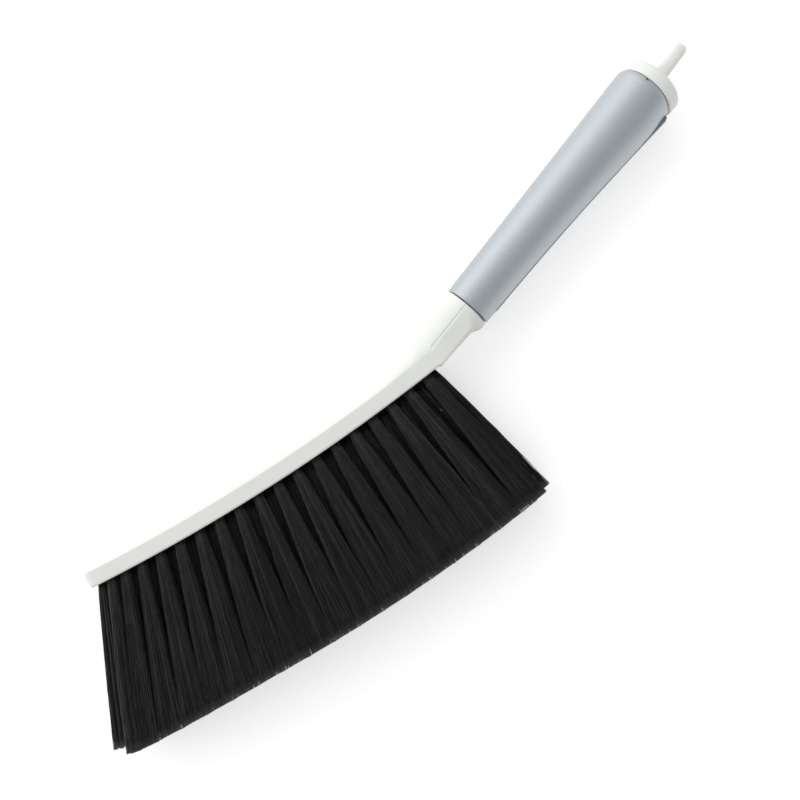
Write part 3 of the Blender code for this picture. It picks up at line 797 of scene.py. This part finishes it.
strip_end = GRIP_LENGTH - STRIP_END_MARGIN
nose = STRIP_NOSE_LENGTH * (1 - np.cos(np.linspace(0, math.pi / 2, NOSE_STATIONS)))
middle = np.linspace(STRIP_START + STRIP_NOSE_LENGTH, strip_end - STRIP_NOSE_LENGTH,
                     STRIP_STATIONS)[1:-1]
strip_rings = []
for x in np.concatenate((STRIP_START + nose, middle, strip_end - nose[::-1])):
    gone = rounding(x - STRIP_START, STRIP_NOSE_LENGTH, STRIP_THICKNESS / 2)
    gone += rounding(strip_end - x, STRIP_NOSE_LENGTH, STRIP_THICKNESS / 2)
    strip_rings.append(strip_section(x, 0.0, STRIP_PROUD - gone, strip_depth))
strip = loft("underside_strip", strip_rings)
finish(strip, "grip_underside_strip", strip_rubber)

# %% [markdown]
# The end cap is turned: a profile is spun round the handle's axis. The real cap is moulded in
# one with its hanging loop, so the loop is joined on, and its legs swell where they grow out
# of the cap, as a moulder rounds an inside corner to keep it from cracking.

# %% The cap's profile
CAP_RADIUS = 0.0142
CAP_LENGTH = 0.0070
CAP_EDGE_RADIUS = 0.0025
CAP_BACK_EDGE = 0.0004
CAP_BACK_GAP = 0.0003
CAP_CROWN = 0.0008
CAP_LINE_PLACE = 0.0030
CAP_LINE_DEPTH = 0.00006
CAP_LINE_WIDTH = 0.00025
SPIGOT_RADIUS = 0.0065
SPIGOT_LENGTH = 0.0120
SPIGOT_CHAMFER = 0.0006
BACK_EDGE_STEPS = 6
LINE_STEPS = 9
LINE_REACH = 2
EDGE_STEPS = 12
FACE_STEPS = 16

profile = [(-SPIGOT_LENGTH, 0.0), (-SPIGOT_LENGTH, SPIGOT_RADIUS - SPIGOT_CHAMFER),
           (-SPIGOT_LENGTH + SPIGOT_CHAMFER, SPIGOT_RADIUS), (CAP_BACK_GAP, SPIGOT_RADIUS)]
for angle in np.linspace(0, math.pi / 2, BACK_EDGE_STEPS):
    profile.append((CAP_BACK_GAP + CAP_BACK_EDGE * (1 - math.cos(angle)),
                    CAP_RADIUS - CAP_BACK_EDGE * (1 - math.sin(angle))))
for place in np.linspace(-LINE_REACH, LINE_REACH, LINE_STEPS):
    depth = CAP_LINE_DEPTH * math.exp(-place ** 2)
    profile.append((CAP_LINE_PLACE + CAP_LINE_WIDTH * place, CAP_RADIUS - depth))
for angle in np.linspace(0, math.pi / 2, EDGE_STEPS):
    profile.append((CAP_LENGTH - CAP_EDGE_RADIUS * (1 - math.sin(angle)),
                    CAP_RADIUS - CAP_EDGE_RADIUS * (1 - math.cos(angle))))
face_radius = CAP_RADIUS - CAP_EDGE_RADIUS
for share in np.linspace(0, 1, FACE_STEPS)[1:]:
    profile.append((CAP_LENGTH + CAP_CROWN * math.sin(share * math.pi / 2),
                    face_radius * (1 - share)))
print("points in the cap's profile:", len(profile))

# %% Spin the profile into the cap
CAP_SIDES = 128

bm = bmesh.new()
verts = [bm.verts.new((x, radius, 0.0)) for x, radius in profile]
edges = [bm.edges.new(pair) for pair in zip(verts, verts[1:])]
bmesh.ops.spin(bm, geom=verts + edges, cent=(0, 0, 0), axis=(1, 0, 0), angle=2 * math.pi,
               steps=CAP_SIDES, use_merge=True)
CAP_PLACE = (Matrix.Translation(GRIP_START + Vector((GRIP_LENGTH, -GRIP_UNDER_DROP / 2, 0)))
             @ Matrix.Rotation(-CAP_TILT, 4, 'Z'))
bmesh.ops.transform(bm, matrix=CAP_PLACE, verts=bm.verts)
cap_mesh = bpy.data.meshes.new("cap_with_loop")
bm.to_mesh(cap_mesh)
bm.free()
cap = clean(link("cap_with_loop", cap_mesh))

# %% The path of the hanging loop
LOOP_REACH = 0.0202
LOOP_WIDTH = 0.0175
LOOP_BAND = 0.0042
LOOP_ROOT_DEPTH = 0.0030
LEG_STATIONS = 22
TURN_STATIONS = 48

loop_radius = (LOOP_WIDTH - LOOP_BAND) / 2
turn_x = CAP_LENGTH + LOOP_REACH - LOOP_WIDTH / 2
root_x = CAP_LENGTH - LOOP_ROOT_DEPTH
tip_x = CAP_LENGTH + LOOP_REACH
leg = np.linspace(root_x, turn_x, LEG_STATIONS)
path = [(x, loop_radius, 0.0, 1.0) for x in leg[:-1]]
for angle in np.linspace(0, math.pi, TURN_STATIONS):
    path.append((turn_x + loop_radius * math.sin(angle), loop_radius * math.cos(angle),
                 math.sin(angle), math.cos(angle)))
path += [(x, -loop_radius, 0.0, -1.0) for x in leg[::-1][1:]]
print("loop sections:", len(path))

# %% The hanging loop
LOOP_THICKNESS = 0.0068
LOOP_TIP_THICKNESS = 0.0058
LOOP_ROUND_ALONG = 0.0020
LOOP_ROUND_UP = 0.0028
LOOP_TILT = math.radians(1.8)
FILLET_LENGTH = 0.0022
FILLET_SWELL = 0.0009
CROWN_AT_LEGS = 0.7
CORNER_POINTS = 7

LOOP_PLACE = CAP_PLACE @ Matrix.Rotation(CAP_TILT + LOOP_TILT, 4, 'Z')
rings = []
for x, z, out_x, out_z in path:
    height = max(0.0, x - CAP_LENGTH - CAP_CROWN * CROWN_AT_LEGS)
    swell = rounding(height, FILLET_LENGTH, FILLET_SWELL)
    thickness = mix(LOOP_THICKNESS, LOOP_TIP_THICKNESS, (x - root_x) / (tip_x - root_x))
    half_band = LOOP_BAND / 2 + swell - LOOP_ROUND_ALONG
    half_thick = thickness / 2 + swell - LOOP_ROUND_UP
    ring = []
    for quarter, (outward, upward) in enumerate(((1, 1), (-1, 1), (-1, -1), (1, -1))):
        for angle in np.linspace(quarter, quarter + 1, CORNER_POINTS) * math.pi / 2:
            along = outward * half_band + LOOP_ROUND_ALONG * math.cos(angle)
            up = upward * half_thick + LOOP_ROUND_UP * math.sin(angle)
            spot = LOOP_PLACE @ Vector((x + out_x * along, up, z + out_z * along))
            ring.append(tuple(spot - GRIP_START))
    rings.append(ring)
cap = combine(cap, [loft("loop", rings)], 'UNION')
finish(cap, "end_cap", cap_plastic)

# %% [markdown]
# Each bristle has its own shade of black, because each was cut from its own length and has
# its own shine. Blender counts every separate tube in a mesh as an island, so one random
# number per island is one per bristle. Towards the cut tips each bristle is painted paler.

# %% Black bristles
DARK_SHADE = (0.005, 0.005, 0.0053, 1)
COMMON_SHADE = (0.012, 0.012, 0.0123, 1)
PALE_SHADE = (0.065, 0.065, 0.0655, 1)
TIP_SHADE = (0.09, 0.09, 0.09, 1)
COMMON_SHADE_PLACE = 0.7
TIPS_FROM = 0.94
CRIMP_SCALE = 800.0
CRIMP_RELIEF = 0.0003
BRISTLE_ROUGHNESS = 0.40


def bristle_black():
    """Black filament, no two alike, paler at the cut tips."""
    material, nodes, links, shader = node_material("filament")
    island = nodes.new("ShaderNodeNewGeometry")
    shades = nodes.new("ShaderNodeValToRGB")
    shades.color_ramp.elements[0].color = DARK_SHADE
    shades.color_ramp.elements[1].color = PALE_SHADE
    shades.color_ramp.elements.new(COMMON_SHADE_PLACE).color = COMMON_SHADE
    links.new(island.outputs["Random Per Island"], shades.inputs["Fac"])
    place = nodes.new("ShaderNodeTexCoord")
    crimps = nodes.new("ShaderNodeTexNoise")
    crimps.inputs["Scale"].default_value = CRIMP_SCALE
    crimps.inputs["Detail"].default_value = 1.0
    links.new(place.outputs["Object"], crimps.inputs["Vector"])
    bump = nodes.new("ShaderNodeBump")
    bump.inputs["Strength"].default_value = 1.0
    bump.inputs["Distance"].default_value = CRIMP_RELIEF
    links.new(crimps.outputs["Fac"], bump.inputs["Height"])
    links.new(bump.outputs["Normal"], shader.inputs["Normal"])
    reach = nodes.new("ShaderNodeAttribute")
    reach.attribute_name = "reach"
    tips = nodes.new("ShaderNodeMapRange")
    tips.inputs["From Min"].default_value = TIPS_FROM
    tips.inputs["From Max"].default_value = 1.0
    links.new(reach.outputs["Fac"], tips.inputs["Value"])
    # Over the last few per cent of each bristle, towards its tip, the black is painted paler.
    paler_tips = nodes.new("ShaderNodeMix")
    paler_tips.data_type = 'RGBA'
    paler_tips.inputs["B"].default_value = TIP_SHADE
    links.new(tips.outputs["Result"], paler_tips.inputs["Factor"])
    links.new(shades.outputs["Color"], paler_tips.inputs["A"])
    links.new(paler_tips.outputs["Result"], shader.inputs["Base Color"])
    shader.inputs["Roughness"].default_value = BRISTLE_ROUGHNESS
    return material


filament = bristle_black()

# %% [markdown]
# A filament is a thin three-sided tube. Blender could bevel a curve for each one, but
# thousands of curves are slow, so the tubes are made as one mesh per tuft, with numpy.

# %% Many thin tubes in one mesh
TUBE_SIDES = 3
TIP_THICKNESS = 0.9


def tubes(name, paths, radius):
    """One mesh of closed three-sided tubes along these paths, thinner at the tip."""
    count, steps, _ = paths.shape
    ways = paths[:, -1] - paths[:, 0]
    ways /= np.linalg.norm(ways, axis=1, keepdims=True)
    side = np.cross(ways, (0.0, 0.0, 1.0))
    side /= np.linalg.norm(side, axis=1, keepdims=True)
    up = np.cross(side, ways)
    thickness = radius * np.linspace(1.0, TIP_THICKNESS, steps)
    corners = []
    for angle in np.linspace(0, 2 * math.pi, TUBE_SIDES, endpoint=False):
        offset = side * math.cos(angle) + up * math.sin(angle)
        corners.append(paths + offset[:, None, :] * thickness[None, :, None])
    verts = np.stack(corners, axis=2).reshape(-1, 3)
    grid = np.arange(count * steps * TUBE_SIDES).reshape(count, steps, TUBE_SIDES)
    ring, following = grid, np.roll(grid, -1, axis=2)
    walls = np.stack((following[:, :-1], ring[:, :-1], ring[:, 1:], following[:, 1:]), axis=3)
    faces = walls.reshape(-1, 4).tolist()
    faces += grid[:, 0].tolist() + grid[:, -1, ::-1].tolist()
    mesh = bpy.data.meshes.new(name)
    mesh.from_pydata(verts.tolist(), [], faces)
    reach = mesh.attributes.new("reach", 'FLOAT', 'POINT')
    share = np.tile(np.repeat(np.linspace(0, 1, steps), TUBE_SIDES), count)
    reach.data.foreach_set("value", share)
    mesh.shade_smooth()
    return link(name, mesh)


# %% [markdown]
# On the real brush every tuft is folded in two round a small anchor and shot into its hole,
# and the filled brush is then trimmed. So all tips of a row end here on one curve through the
# middles of its tufts. The curve is drawn through three neighbours at a time.

# %% The line of the tips


def beside(name, step):
    """The name of the neighbour in the same row, this many tufts on."""
    return f"{name[:-2]}{int(name[-2:]) + step:02d}"


def tip_beside(name, step):
    """The middle of a neighbour's tips, or where it would be past the end of the row."""
    if beside(name, step) in tufts:
        return tufts[beside(name, step)][2]
    return 2 * tufts[name][2] - tufts[beside(name, -step)][2]


def trimmed_tips(name, share):
    """Points on the trimmed line, this share of a pitch away from a tuft's own middle."""
    before, own, after = tip_beside(name, -1), tufts[name][2], tip_beside(name, 1)
    return (own + share * (after - before) / 2
            + share ** 2 * (after - 2 * own + before) / 2)


# %% [markdown]
# The bundle is dealt out like seeds in a sunflower, evenly over the round hole, and each
# bristle keeps its place in the bundle while the bundle widens and grows squarer. Bristles
# lean towards the nearest of a few small clumps, which keeps the brush from looking combed
# by a machine.

# %% A place in the bundle for every bristle
GOLDEN_ANGLE = math.pi * (3 - math.sqrt(5))
SQUARENESS = 0.5
CLUMPS = 12
CLUMP_PULL = 0.18
LEAST_PULLED = 0.3
SCATTER = 0.06


def bundle_places(count, rng):
    """Places from -1 to 1 along and across, first at the round root, then at the tips."""
    seed = np.arange(count)
    reach = np.sqrt((seed + 0.5) / count)[:, None]
    angle = seed * GOLDEN_ANGLE + rng.uniform(0, 2 * math.pi)
    circle = np.stack((np.cos(angle), np.sin(angle)), axis=1)
    square = circle / np.abs(circle).max(axis=1, keepdims=True)
    place = mix(circle, square, SQUARENESS) * reach
    clump = rng.uniform(-1, 1, (CLUMPS, 2))
    nearest = np.argmin(((place[:, None] - clump[None]) ** 2).sum(axis=2), axis=1)
    pulled = rng.uniform(LEAST_PULLED, 1.0, (count, 1))
    place = mix(place, clump[nearest], CLUMP_PULL * pulled)
    return circle * reach, np.clip(place + rng.normal(0, SCATTER, place.shape), -1.0, 1.0)


# %% [markdown]
# At the tips a bundle is a little wider than its share of the row, so neighbours mingle there
# and only the roots look like separate tufts. A tuft at the end of a row has no neighbour on
# one side and stays round there. The two outer rows hold most of their bristles in their
# outer layers, because those are what one sees, and their tips draw the brush's outline.

# %% Where the bristles of a tuft end
TIP_SHARE = {"near": 0.53, "middle": 0.72, "far": 0.66}
TOE_TIP_SHARE = 0.50
TOE_TUFTS = 4
TOE_LONGER = 0.0003
END_FILL = 1.08
FILL_ACROSS = 1.21
OUTER_LAYERS = {"near": 0.32, "middle": 1.0, "far": 0.34}
OUTER_SHORTER = 0.0004
ROUND_END = 1.05
UNEVEN_LENGTH = 0.00008


def bristle_ends(name, place, axis, rng):
    """The tips of a tuft's bristles, trimmed to the row's curve."""
    tip, along, across = tufts[name][2:]
    row, number = name[5:-3], int(name[-2:])
    share = mix(TOE_TIP_SHARE, TIP_SHARE[row], min(1.0, (number - 1) / TOE_TUFTS))
    inside = trimmed_tips(name, place[:, :1] * share)
    outside = tip + place[:, :1] * along * END_FILL
    no_neighbour = np.where(place[:, :1] < 0, beside(name, -1) not in tufts,
                            beside(name, 1) not in tufts)
    level = np.clip(place[:, 1:] / np.sqrt(ROUND_END - place[:, :1] ** 2), -1.0, 1.0)
    level = np.sign(level) * np.abs(level) ** OUTER_LAYERS[row] * FILL_ACROSS
    level = np.where(no_neighbour, place[:, 1:], level)
    end = np.where(no_neighbour, outside, inside) + level * across
    end -= axis * np.abs(rng.normal(0, UNEVEN_LENGTH, (len(place), 1)))
    end -= axis * OUTER_SHORTER * place[:, 1:] ** 2
    return end + axis * TOE_LONGER * max(0.0, 1 - (number - 1) / TOE_TUFTS)


# %% [markdown]
# Between root and tip a bristle follows the bundle's middle and drifts away from it. A slight
# bend and a faint crimp of its own break up the shine, as they do on real filaments.

# %% The way of every bristle
BRISTLES_PER_TUFT = {"near": 600, "middle": 320, "far": 520}
BRISTLE_STEPS = 12
ROOT_RADIUS = 0.00225
ROOT_SINK = 0.0015
FLARE = {"near": 1.0, "middle": 0.6, "far": 0.8}
BEND = 0.0006
CRIMP = 0.00010
CRIMP_WAVES = 4.3
CRIMP_ONSET = 0.25


def tuft_paths(name, rng):
    """The bristles of one tuft, as points from the hole to the tips."""
    bottom, top, tip, along, across = tufts[name]
    row = name[5:-3]
    axis = (top - bottom) / np.linalg.norm(top - bottom)
    side = along / np.linalg.norm(along)
    side -= axis * (side @ axis)
    side /= np.linalg.norm(side)
    rise = np.cross(side, axis)
    rise *= np.sign(rise @ across)
    spot, place = bundle_places(BRISTLES_PER_TUFT[row], rng)
    spot = spot * ROOT_RADIUS
    root = top - axis * ROOT_SINK + spot[:, :1] * side + spot[:, 1:] * rise
    end = bristle_ends(name, place, axis, rng)
    bend = rng.normal(0, BEND, (len(root), 3))
    phase = rng.uniform(0, 2 * math.pi, (len(root), 1))
    wave = np.where(rng.uniform(0, 1, (len(root), 1)) < 0.5, side, rise) * CRIMP
    middle = root.mean(axis=0)
    paths = []
    for t in np.linspace(0, 1, BRISTLE_STEPS):
        core = mix(middle, tip, t)
        spread = mix(root - middle, end - tip, t ** FLARE[row])
        sway = bend * math.sin(math.pi * t) * t
        crimp = wave * np.sin(phase + 2 * math.pi * CRIMP_WAVES * t) * min(1.0, t / CRIMP_ONSET)
        paths.append(core + spread + sway + crimp)
    return np.stack(paths, axis=1)


# %% Fill every tuft with bristles
BRISTLE_RADIUS = {"near": 0.00010, "middle": 0.00013, "far": 0.00012}

for order, name in enumerate(tuft_names):
    paths = tuft_paths(name, np.random.default_rng(order))
    piece = tubes(name.replace("tuft", "bristles"), paths, BRISTLE_RADIUS[name[5:-3]])
    piece.data.materials.append(filament)
    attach(piece, "root")
    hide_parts(name)
print("tufts filled:", len(tuft_names), "with bristles in each row", BRISTLES_PER_TUFT)
